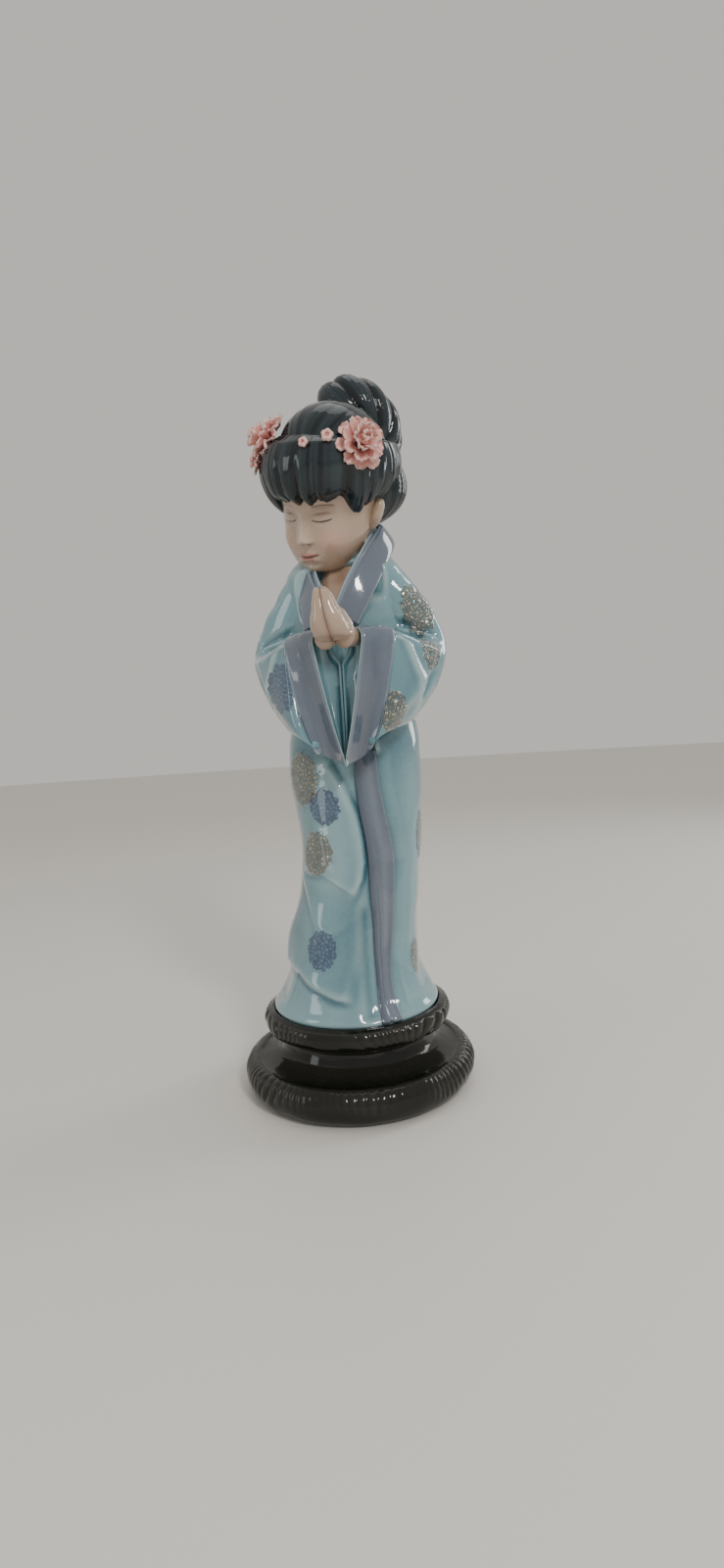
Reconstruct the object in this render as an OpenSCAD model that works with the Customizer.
// Porcelain figurine: a girl in a long-sleeved kimono, head bowed and palms together,
// standing in the recess of a round glazed plinth. The girl faces -Y and +Z is up.
// The origin is the centre of the plinth's foot. All sizes are in millimetres.

/* [Plinth] */
// Radius of the plinth at its widest, across the lower leaf rim
plinth_r = 48.2; // [46:0.2:52]
// Height of the plinth to the top of its upper rim
plinth_h = 34; // [33:0.5:36]
// Thickness of the plinth's cast wall
plinth_wall = 4; // [3:0.5:5]
// Depth of the recess that the girl stands in
seat_depth = 2; // [1:0.5:3]
// Gap all round between the hem and the recess
seat_gap = 0.4; // [0.3:0.1:0.8]

/* [Robe] */
// Radius of the kimono's hem where it stands in the recess
hem_r = 34; // [32:0.5:34.5]
// Thickness of the slip-cast robe
robe_wall = 3; // [2:0.5:4]
// Diameter of the vent hole in the floor of the robe
vent_d = 7; // [4:0.5:10]
// Thickness of a sleeve's cast wall
sleeve_wall = 2.4; // [2:0.2:3]
// Height of the waist, where the skirt and the torso are joined
waist_z = 150; // [146:1:154]

/* [Head] */
// Radius of the dressed hair
hair_r = 28; // [27:0.5:29]
// How far the head is bowed forward, in degrees
head_bow = 28; // [25:1:38]
// How far the head is turned to the girl's right, in degrees
head_turn = 22; // [15:1:28]
// How far the head leans to the girl's left, in degrees
head_lean = 11; // [8:1:13]

/* [Flowers] */
// Radius of each large hair flower
flower_r = 10; // [9:0.5:11]
// Petals in each ring of a large flower
petals = 8; // [6:1:9]

/* [Quality] */
// Sides of a section through the robe
sides = 40; // [32:4:56]

/* [Hidden] */

seat_z = plinth_h - seat_depth;
body_x = 6.2;
head_at = [5, -8, 248.5];
aqua = [0.55, 0.74, 0.75];
lilac = [0.45, 0.45, 0.53];
skin = [0.85, 0.72, 0.62];
hair = [0.08, 0.11, 0.14];
pink = [0.90, 0.62, 0.60];

// Sections through the robe: height, centre x, centre y, half width, half depth.
SKIRT = [
    [seat_z, 0, 0, hem_r, hem_r],
    [seat_z + 3, 0, 0, hem_r + 0.3, hem_r + 0.3],
    [38.5, 0.3, 0, 32, 32.5],
    [43, 0.6, 0, 29.4, 30.5],
    [50, 1, 0, 26.8, 28],
    [66, 1.6, 0.5, 26.1, 26],
    [84, 4.2, 1.5, 25, 25],
    [104, 5.6, 3, 25.4, 24],
    [125, 4.6, 4.5, 27.6, 23.5],
    [141, 4.6, 5, 27.9, 22.5],
    [waist_z, 4.8, 5, 26.5, 21]];
TORSO = [
    [waist_z, 4.8, 5, 26.5, 21],
    [165, 5.4, 4, 24.5, 19.5],
    [180, 5.8, 2, 24.5, 18],
    [195, body_x, -0.5, 25, 17],
    [205, body_x, -2, 25, 15.5],
    [213, body_x, -2.5, 23, 14.5],
    [218.5, body_x, -2.5, 18, 12.5],
    [222, body_x, -2.5, 12, 10.5]];

// Piecewise cubic through the rows of a table, which gives column k at x.
function row_of(t, x, i = 0) = i >= len(t) - 2 || x < t[i + 1][0] ? i : row_of(t, x, i + 1);
function rise(t, i, k) = let (a = max(i - 1, 0), b = min(i + 1, len(t) - 1))
    (t[b][k] - t[a][k]) / (t[b][0] - t[a][0]);
function curve(t, x, k) = let (i = row_of(t, x), h = t[i + 1][0] - t[i][0], s = (x - t[i][0]) / h)
    t[i][k] * (2 * s ^ 3 - 3 * s ^ 2 + 1) + t[i + 1][k] * (3 * s ^ 2 - 2 * s ^ 3)
    + h * rise(t, i, k) * (s ^ 3 - 2 * s ^ 2 + s) + h * rise(t, i + 1, k) * (s ^ 3 - s ^ 2);

// A level oval of n points, first point at the front and going round to the girl's left.
function oval(cx, cy, rx, ry, z, n = sides) =
    [for (i = [0 : n - 1]) [cx + rx * sin(360 * i / n), cy - ry * cos(360 * i / n), z]];
function robe_ring(t, z, inset = 0) =
    oval(curve(t, z, 1), curve(t, z, 2), curve(t, z, 3) - inset, curve(t, z, 4) - inset, z);

// Skins a list of rings of equal length. A closed skin joins the last ring to the first;
// an open one is capped with fans at both ends.
module skin_rings(rings, closed = false) {
    n = len(rings[0]);
    m = len(rings);
    middle = [for (r = [rings[0], rings[m - 1]])
        [for (k = [0 : 2]) [for (p = r) p[k]] * [for (p = r) 1] / n]];
    points = [for (r = rings) each r, each middle];
    spans = closed ? m : m - 1;
    walls = [for (j = [0 : spans - 1], i = [0 : n - 1])
        let (a = j * n, b = (j + 1) % m * n, k = (i + 1) % n)
        each [[a + i, b + i, b + k], [a + i, b + k, a + k]]];
    caps = closed ? [] : [for (i = [0 : n - 1]) let (k = (i + 1) % n)
        each [[m * n, i, k], [m * n + 1, (m - 1) * n + k, (m - 1) * n + i]]];
    faces = concat(walls, caps);
    inside_out = [for (f = faces) cross(points[f[0]], points[f[1]]) * points[f[2]]]
        * [for (f = faces) 1] > 0;
    polyhedron(points, inside_out ? [for (f = faces) [f[2], f[1], f[0]]] : faces, convexity = 8);
}

// Lets OpenSCAD's own mesh kernel cut freely curved pieces to fit each other.
module fitted() resize([0, 0, 0]) children();

// An egg with its own three radii, made of level rings.
module egg(r, rings = 12, n = 24)
    skin_rings([for (j = [0.5 : rings - 0.5]) let (t = 180 * j / rings)
        oval(0, 0, r[0] * sin(t), r[1] * sin(t), -r[2] * cos(t), n)]);

module in_head_frame()
    translate(head_at) rotate([head_bow, 0, -head_turn]) rotate([0, head_lean, 0]) children();

// ---- plinth ----
// Outline of a rounded moulding: points of an arc from angle a to angle b.
function arc(cx, cz, rx, rz, a, b, n = 8) =
    [for (i = [0 : n]) let (t = a + (b - a) * i / n) [cx + rx * cos(t), cz + rz * sin(t)]];

module seat_outline(gap) polygon([for (p = hem_outline(gap)) [p[0], p[1]]]);
// The hem is an oval with a soft fold at the front, so the girl stands in the recess one way round.
function hem_outline(gap) = [for (i = [0 : sides - 1]) let (t = 360 * i / sides,
    r = hem_r + gap + 0.6 * exp(-((t - 18) / 14) ^ 2)) [r * sin(t), -r * cos(t)]];

module plinth() color([0.10, 0.10, 0.09]) {
    lower_r = plinth_r - 5;
    upper_r = hem_r + 1.6;
    difference() {
        rotate_extrude($fn = 96) polygon(concat(
            [[lower_r - plinth_wall, 0], [lower_r + 2, 0]],
            arc(lower_r, 7.4, 5, 6.6, -62, 84, 12),
            arc(upper_r + 1, 22.6, 5, 6.2, 272, 184, 8),
            arc(upper_r, 29, 3.4, 4.4, -80, 72, 10),
            [[upper_r - 0.4, plinth_h], [0, plinth_h]],
            [[0, seat_z - plinth_wall], [upper_r - 5, seat_z - plinth_wall],
                [upper_r - 4, 21], [upper_r + 1, 12], [lower_r - plinth_wall, 6]]));
        translate([0, 0, seat_z]) linear_extrude(seat_depth + 1) seat_outline(seat_gap);
    }
}

// ---- robe ----
function skirt_ring(z, inset = 0) = z < seat_z + 3.5
    ? [for (p = hem_outline(-inset)) [p[0], p[1], z]]
    : robe_ring(SKIRT, z, inset);
skirt_levels = [seat_z, seat_z + 3, for (z = [seat_z + 4 : 5.7 : waist_z - 1]) z, waist_z];
function skirt_rings(inset = 0) = [for (z = skirt_levels) skirt_ring(z, inset)];
module skirt_core() skin_rings(skirt_rings());
// Hollow cup with a floor and a vent hole, open at the waist.
module skirt() color(aqua) skin_rings(closed = true, rings = concat(
    [oval(0, 0, vent_d / 2, vent_d / 2, seat_z)],
    skirt_rings(),
    [for (i = [len(skirt_levels) - 1 : -1 : 3]) skirt_ring(skirt_levels[i], robe_wall)],
    [skirt_ring(seat_z + 4, robe_wall + 1)],
    [oval(0, 0, vent_d / 2, vent_d / 2, seat_z + 4)]));

// Lilac border strip down the front of the skirt: height, angle round the body, half width.
FRONT_BAND = [
    [36, 33, 3.8],
    [49, 35, 3.3],
    [67, 36, 4.5],
    [86, 31, 5.8],
    [94, 30, 6.2],
    [113, 21, 5.4],
    [132, 18, 4.4]];
// The skirt's radius near the strip, for turning its half width into degrees: 57.3 / 25.8.
band_turn = 2.22;
function on_skirt(z, t, out) = let (a = curve(SKIRT, z, 1), b = curve(SKIRT, z, 2))
    [a + (curve(SKIRT, z, 3) + out) * sin(t), b - (curve(SKIRT, z, 4) + out) * cos(t), z];
module skirt_front_band() color(lilac) fitted() difference() {
    skin_rings([for (z = [37 : 5 : 132]) let (t = curve(FRONT_BAND, z, 1),
            w = curve(FRONT_BAND, z, 2) * band_turn)
        [on_skirt(z, t - w, -2), on_skirt(z, t - w, 0.6), on_skirt(z, t, 1), on_skirt(z, t + w, 0.6),
            on_skirt(z, t + w, -2)]]);
    skirt_core();
}

torso_levels = [for (z = [waist_z : 6 : 217]) z];
function torso_rings(inset = 0) = [for (z = torso_levels) robe_ring(TORSO, z, inset)];
neck_hole = 6;
module torso() color(aqua) fitted() difference() {
    skin_rings(closed = true, rings = concat(
        torso_rings(),
        [robe_ring(TORSO, 222), oval(body_x, -2.5, neck_hole, neck_hole, 222),
            oval(body_x, -2.5, neck_hole, neck_hole, 218)],
        [for (i = [len(torso_levels) - 1 : -1 : 0]) robe_ring(TORSO, torso_levels[i], robe_wall)]));
    neck_solid();
    head_solid();
}
module torso_core() skin_rings(concat(torso_rings(), [robe_ring(TORSO, 222)]));

// Sash round the waist, its flat drum knot at the back and the cord that ties it.
obi_low = 151;
obi_high = 174;
// How far the sash and its cord stand proud of the robe.
obi_proud = 1.6;
cord_proud = 2.8;
module obi_core() skin_rings([for (z = [obi_low : 3.8 : obi_high]) robe_ring(TORSO, z, -obi_proud)]);
module obi() color(lilac) fitted() difference() {
    obi_core();
    torso_core();
    sleeve_solid(1);
    sleeve_solid(-1);
}
knot_at = [5.5, 27, 160];
module knot_solid() translate(knot_at) rotate([8, 0, 0])
    hull() for (x = [-13, 13], z = [-12, 12]) translate([x, 0, z]) scale([1, 1.3, 1]) sphere(3.4, $fn = 16);
// Block that joins the knot to the sash behind it.
module knot_root() translate(knot_at - [0, 6, 0]) cube([20, 10, 14], center = true);
module obi_knot() color(lilac) fitted() difference() {
    union() {
        knot_solid();
        knot_root();
    }
    obi_core();
    skirt_core();
    torso_core();
}
module obi_cord() color(pink) fitted() difference() {
    skin_rings([for (z = [161, 163.4]) robe_ring(TORSO, z, -cord_proud)]);
    obi_core();
    knot_solid();
    knot_root();
    sleeve_solid(1);
    sleeve_solid(-1);
}

// ---- sleeves ----
// Sections along an arm: station, x from the body's middle, y, z, half width, reach up, reach down, lean.
ARM = [
    [0, 12, -1.5, 208.5, 11, 11, 13, 0],
    [1, 22, -1, 193, 12, 10, 15, 0],
    [2, 28, -3.5, 178, 12, 6.5, 15, 0],
    [3, 24.5, -14, 175, 10, 6.5, 27, 0.05],
    [4, 17.5, -25, 178, 7.5, 6.5, 37, 0.12],
    [5, 9.5, -34.5, 178, 5, 6, 43, 0.17]];
function arm(s, k) = curve(ARM, s, k);
function arm_ring(s, side, inset = 0, n = 28) = let (
    step = [for (k = [1 : 3]) arm(s + 0.05, k) - arm(s - 0.05, k)],
    along = step / norm(step),
    inward = [-1, 0, 0] + along[0] * along,
    across = inward / norm(inward),
    up = cross(across, along),
    middle = body_x + (palm_x - body_x) * max(0, min(1, (s - 2) / 3)))
    [for (i = [0 : n - 1]) let (t = 360 * i / n, reach = (cos(t) > 0 ? arm(s, 5) : arm(s, 6)) - inset,
        p = [arm(s, 1), arm(s, 2), arm(s, 3)] + (arm(s, 4) - inset) * sin(t) * across + reach * cos(t) * up)
        [middle + side * (p[0] + arm(s, 7) * (p[2] - arm(s, 3))), p[1], p[2]]];
ARM_STATIONS = [0.1 : 0.485 : 4.96];
module sleeve_solid(side, stations = ARM_STATIONS, inset = 0)
    skin_rings([for (s = stations) arm_ring(s, side, inset)]);
module sleeve_hollow(side) sleeve_solid(side, [1.5 : 0.37 : 5.21], sleeve_wall);
// Everything beyond the body's middle, seen from one arm.
module far_side(side) translate([palm_x - side * 50, -40, 150]) cube([100, 100, 120], center = true);
module sleeve(side) color(aqua) fitted() difference() {
    sleeve_solid(side);
    sleeve_hollow(side);
    torso_core();
    skirt_core();
    far_side(side);
}
// Contrast border round the open end of a sleeve, standing a little proud of it.
band_stations = [for (k = [8 : 10]) 0.1 + 0.485 * k];
module cuff_band(side) color(lilac) skin_rings(closed = true, rings = concat(
    [for (s = band_stations) arm_ring(s, side)],
    [for (k = [2 : -1 : 0]) arm_ring(band_stations[k], side, -0.8)]));

// ---- collar, neck and hands ----
// Half of the collar, from the nape to the lapel: station, x from the body's middle, y, z, width.
COLLAR = [
    [0, 0, 12, 227.5, 9],
    [1, 10, 9.5, 228, 9.5],
    [2, 17, 1, 225, 10.5],
    [3, 14.5, -11, 213.5, 11.5],
    [4, 9.5, -17.5, 201.5, 12],
    [5, 5, -19.5, 189, 12]];
// How far the collar's face leans back from upright at each station, in degrees.
COLLAR_FACE = [[0, 50], [1, 50], [2, 45], [3, 35], [4, 20], [5, 8]];
function collar_ring(s, g, width, thick, out, shift) = let (
    c = [for (k = [1 : 3]) curve(COLLAR, s, k)],
    away = [c[0], c[1] + 3, 0] / norm([c[0], c[1] + 3, 0]),
    tilt = curve(COLLAR_FACE, s, 1),
    face = away * cos(tilt) + [0, 0, sin(tilt)],
    along = [for (k = [1 : 3]) curve(COLLAR, s + 0.05, k) - curve(COLLAR, s - 0.05, k)],
    edge = cross(face, along) / norm(cross(face, along)),
    q = [for (k = [[-1, -1], [-1, 1], [0, 1.25], [1, 1], [1, -1]])
        c + edge * (k[0] * width * curve(COLLAR, s, 4) / 2 - shift) + face * (k[1] * thick / 2 + out)])
    [for (p = q) [body_x + g * p[0], p[1], p[2]]];
module collar_strip(width, thick, out, shift = 0) for (g = [1, -1])
    skin_rings([for (s = [0.06 * g : 0.494 : 5]) collar_ring(s, g, width, thick, out, shift)]);
module collar() color(lilac) fitted() difference() {
    collar_strip(1, 3.4, 1);
    torso_core();
    sleeve_solid(1);
    sleeve_solid(-1);
    neck_solid();
    head_solid();
    hair_back_solid();
}
module under_collar() color([0.85, 0.88, 0.9]) fitted() difference() {
    collar_strip(0.9, 2, -2, 2.5);
    collar_strip(1, 3.4, 1);
    torso_core();
    neck_solid();
    head_solid();
    hair_back_solid();
}
// Neck, widening below into the patch of chest that shows between the lapels.
module neck_solid() skin_rings([
    oval(body_x - 0.5, -7.5, 8, 10.8, 197, 24),
    oval(body_x, -5.8, 10.5, 10.6, 206, 24),
    oval(body_x, -3.2, 11, 9.4, 213, 24),
    oval(body_x - 0.5, -1.6, 9.6, 9.2, 219, 24),
    oval(body_x - 1, -1, 9.2, 9.2, 233, 24)]);
// Hollow left by the casting slip, running from the torso up through the neck.
module neck_bore() skin_rings([
    oval(body_x, -2.5, 4.6, 4.6, 198, 24),
    oval(body_x - 1, 0, 4.6, 4.6, 254, 24)
]);
module neck() color(skin) fitted() difference() {
    neck_solid();
    neck_bore();
    head_solid();
    hair_back_solid();
}
// One hand: palm, four fingers and a thumb, laid flat against the other at the body's middle.
palm_x = 8.4;
palm_y = -43;
module hand(side) color(skin) fitted() difference() {
    translate([palm_x, palm_y, 0]) union() {
        hull() {
            translate([side * 3.4, 4.5, 179]) sphere(4.2, $fn = 16);
            translate([side * 3, -1, 183]) sphere(3.6, $fn = 16);
            translate([side * 2.4, 3, 188]) sphere(2.8, $fn = 16);
            translate([side * 2.4, -1.6, 188.5]) sphere(2.6, $fn = 16);
        }
        hull() {
            translate([side * 2, 3, 188]) sphere(2.4, $fn = 16);
            translate([side * 2, -1.6, 188.5]) sphere(2.4, $fn = 16);
            translate([side * 1, 2, 198.5]) sphere(1.4, $fn = 16);
            translate([side * 1, -1, 199.5]) sphere(1.4, $fn = 16);
        }
        hull() {
            translate([side * 3, 6, 181]) sphere(3, $fn = 16);
            translate([side * 1.6, 6, 192]) sphere(1.6, $fn = 16);
        }
        hull() {
            translate([side * 3.4, 4.5, 179]) sphere(4, $fn = 16);
            translate([side * 9, 14, 181]) sphere(4, $fn = 16);
        }
    }
    translate([palm_x - side * 20, palm_y, 190]) cube([40, 60, 60], center = true);
    sleeve(side);
    cuff_band(side);
}

// ---- head, ears and hair, drawn in the head's own upright frame ----
// Sections through the head from chin to crown: height, centre y, half width, half depth.
HEAD = [
    [-32.3, -10, 2.5, 2.5],
    [-30.5, -10, 8.5, 7.5],
    [-27, -9.4, 13, 10.8],
    [-21, -8, 16.6, 14.4],
    [-13, -5.2, 19, 18],
    [-4, -1.8, 20.8, 21.2],
    [4, 0, 21, 22.6],
    [12, 0, 18.5, 20],
    [18, 0, 12.5, 14],
    [21.6, 0, 4, 4.6]];
module head_solid() in_head_frame()
    skin_rings([for (z = [-32.3, -31.4, -30, for (z = [-28 : 3.9 : 20]) z, 21.6])
        oval(0, curve(HEAD, z, 1), curve(HEAD, z, 2), curve(HEAD, z, 3), z, 26)]);
module head() color(skin) fitted() difference() {
    head_solid();
    neck_bore();
}
module ear(side) color(skin) fitted() difference() {
    in_head_frame() translate([side * 18.2, -3, -13.8]) rotate([12, side * 30, side * 30])
        egg([2.6, 4.6, 6.6], 8, 16);
    head_solid();
    hair_fringe_solid();
    hair_back_solid();
    collar_strip(1, 3.4, 1);
}
module hair_crown_solid() in_head_frame() translate([0.5, 0, 8]) egg([22.5, 22.5, 21]);
module hair_crown() color(hair) fitted() difference() {
    hair_crown_solid();
    head_solid();
}
// Rolled fringe and side wings: a ring round the head, cut away over the face.
module hair_fringe_solid() in_head_frame() difference() {
    intersection() {
        translate([0, 0, 4]) egg([hair_r, hair_r, 23]);
        translate([0, -18, 5]) cube([80, 52, 26], center = true);
    }
    translate([0, -34, -11]) egg([17, 20, 9]);
}
module hair_fringe() color(hair) fitted() difference() {
    hair_fringe_solid();
    head_solid();
    hair_crown_solid();
}
module hair_back_solid() in_head_frame() translate([0, 9, -4]) egg([26.5, 19, 16.5]);
module hair_back() color(hair) fitted() difference() {
    hair_back_solid();
    head_solid();
    hair_crown_solid();
    hair_fringe_solid();
}
module hair_bun_solid() in_head_frame()
    translate([0.5, 27.5, 14]) rotate([20, -40, 0]) egg([16.5, 15, 20.5]);
module hair_bun() color(hair) fitted() difference() {
    hair_bun_solid();
    hair_crown_solid();
    hair_back_solid();
}

// ---- flowers ----
// Where each large flower sits: x, y and z in the head's frame.
FLOWER_AT = [[-20.5, -11.5, 17], [22.3, -14.6, 14]];
module flower_frame(side) {
    at = FLOWER_AT[side > 0 ? 1 : 0];
    in_head_frame() translate(at) rotate([0, acos(at[2] / norm(at)), atan2(at[1], at[0])]) children();
}
module flower_heart_solid(side) flower_frame(side) translate([0, 0, 2]) egg([6, 6, 5], 8, 16);
module flower_heart(side) color(pink) fitted() difference() {
    flower_heart_solid(side);
    head_solid();
    hair_crown_solid();
    hair_fringe_solid();
}
module flower_petals(side) color(pink) fitted() difference() {
    flower_frame(side) for (ring = [0, 1], i = [0 : petals - 1])
        rotate([0, 0, 360 * (i + ring / 2) / petals]) rotate([0, -18 - 34 * ring, 0]) hull() {
            translate([4, 0, 1]) sphere(1.2, $fn = 8);
            translate([flower_r - 2.5 - 2 * ring, 0, 1.5]) sphere(2.3, $fn = 8);
        }
    flower_heart_solid(side);
    head_solid();
    hair_crown_solid();
    hair_fringe_solid();
}
// Two small blossoms pressed into the hair above the fringe.
BLOSSOM_AT = [[2.6, -22, 16.3], [10.4, -18.5, 17.5]];
module hair_blossoms() color(pink) fitted() difference() {
    in_head_frame() for (p = BLOSSOM_AT) translate(p) egg([2.4, 2.4, 2.4], 6, 12);
    hair_crown_solid();
    hair_fringe_solid();
}

plinth();
skirt();
skirt_front_band();
torso();
obi();
obi_knot();
obi_cord();
sleeve(1);  // sleeve_left
sleeve(-1);  // sleeve_right
cuff_band(1);  // cuff_band_left
cuff_band(-1);  // cuff_band_right
collar();
under_collar();
neck();
hand(1);  // hand_left
hand(-1);  // hand_right
head();
ear(1);  // ear_left
ear(-1);  // ear_right
hair_crown();
hair_fringe();
hair_back();
hair_bun();
flower_heart(1);  // flower_left_heart
flower_petals(1);  // flower_left_petals
flower_heart(-1);  // flower_right_heart
flower_petals(-1);  // flower_right_petals
hair_blossoms();
